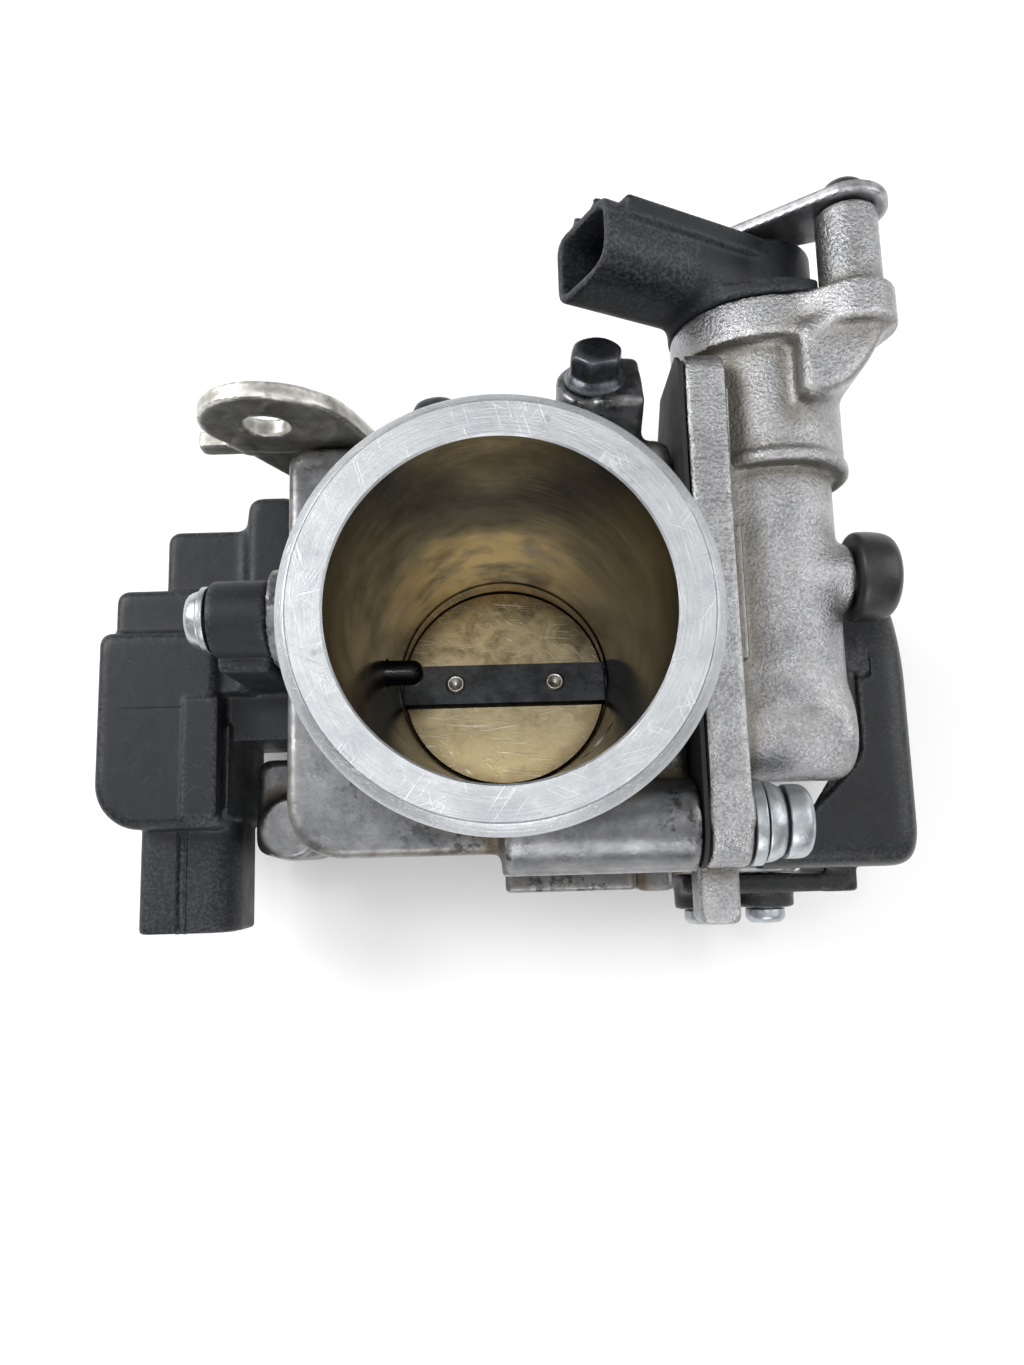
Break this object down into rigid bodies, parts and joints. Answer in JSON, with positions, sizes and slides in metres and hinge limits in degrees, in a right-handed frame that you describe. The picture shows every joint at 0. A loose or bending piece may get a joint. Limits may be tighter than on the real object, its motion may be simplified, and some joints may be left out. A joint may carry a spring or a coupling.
{
  "type": "motorcycle throttle body",
  "caption": "Cast throttle body with a sprung butterfly plate, left sensor unit, right idle-air valve with its motor, rear bracket and covered cable drum.",
  "frame": {"origin": "bottom centre of the whole part's box, in the plane of the outlet spigot's flat end", "axes": "+Z along the duct and out of the intake mouth, +X along the throttle shaft towards the cable drum, +Y towards the idle-air motor"},
  "size_m": [0.1482, 0.1266, 0.102],
  "materials": {
    "cast_aluminium": "as cast, grimy, with machined mouth and duct",
    "bright_aluminium": "bright grainy casting",
    "brass": "stained and lightly scratched",
    "bronze": "sintered",
    "black_steel": "black oxide, satin",
    "zinc_steel": "zinc plated",
    "bare_steel": "plain steel",
    "tinned_metal": "bright tinned",
    "black_plastic": "moulded, dusty",
    "gloss_plastic": "glossy moulded",
    "rubber": "matte rubber",
    "gasket": "pressed gasket sheet"
  },
  "bodies": {
    "casting": {"main_body": "cast_aluminium", "shaft_bush_left": "bronze", "shaft_bush_right": "bronze", "shaft_seal_left": "rubber", "shaft_seal_right": "rubber", "return_spring": "bare_steel", "sensor_unit": "black_plastic", "sensor_o_ring": "rubber", "sensor_terminals": "tinned_metal", "air_temperature_probe": "gloss_plastic", "sensor_screw_upper": "zinc_steel", "sensor_screw_lower": "zinc_steel", "mounting_bracket": "zinc_steel", "bracket_bolt_1": "black_steel", "bracket_bolt_2": "black_steel", "plug_bolt_1": "black_steel", "plug_bolt_2": "black_steel", "idle_air_housing": "bright_aluminium", "idle_air_gasket": "gasket", "idle_air_motor": "black_plastic", "motor_o_ring": "rubber", "idle_air_terminals": "tinned_metal", "set_plate": "bare_steel", "set_plate_screw": "black_steel", "housing_washer": "zinc_steel", "housing_dished_washer": "zinc_steel", "housing_screw_lower": "zinc_steel", "housing_screw_upper": "zinc_steel", "port_nipple": "bare_steel", "port_cap": "rubber", "drum_cover": "black_plastic", "cover_screw_side": "zinc_steel", "cover_screw_foot_1": "zinc_steel", "cover_screw_foot_2": "zinc_steel", "idle_stop_screw": "zinc_steel", "idle_stop_spring": "bare_steel"},
    "throttle": {"throttle_shaft": "black_steel", "throttle_plate": "brass", "plate_screw_1": "tinned_metal", "plate_screw_2": "tinned_metal", "sensor_rotor": "black_plastic", "throttle_drum": "bare_steel", "drum_washer": "zinc_steel", "drum_nut": "zinc_steel"},
    "idle_valve": {"idle_valve_pintle": "bare_steel"}
  },
  "joints": [
    {"name": "throttle_turn", "type": "hinge", "parent": "casting", "child": "throttle", "pos_m": [0.0001, -0.0157, 0.032], "axis": [-1, 0, 0], "range_deg": [0, 82], "stiffness_Nm_per_rad": 0.15, "springref_deg": -57.3},
    {"name": "idle_valve_travel", "type": "slide", "parent": "casting", "child": "idle_valve", "axis": [0, 1, 0], "range_m": [0, 0.008]}
  ]
}
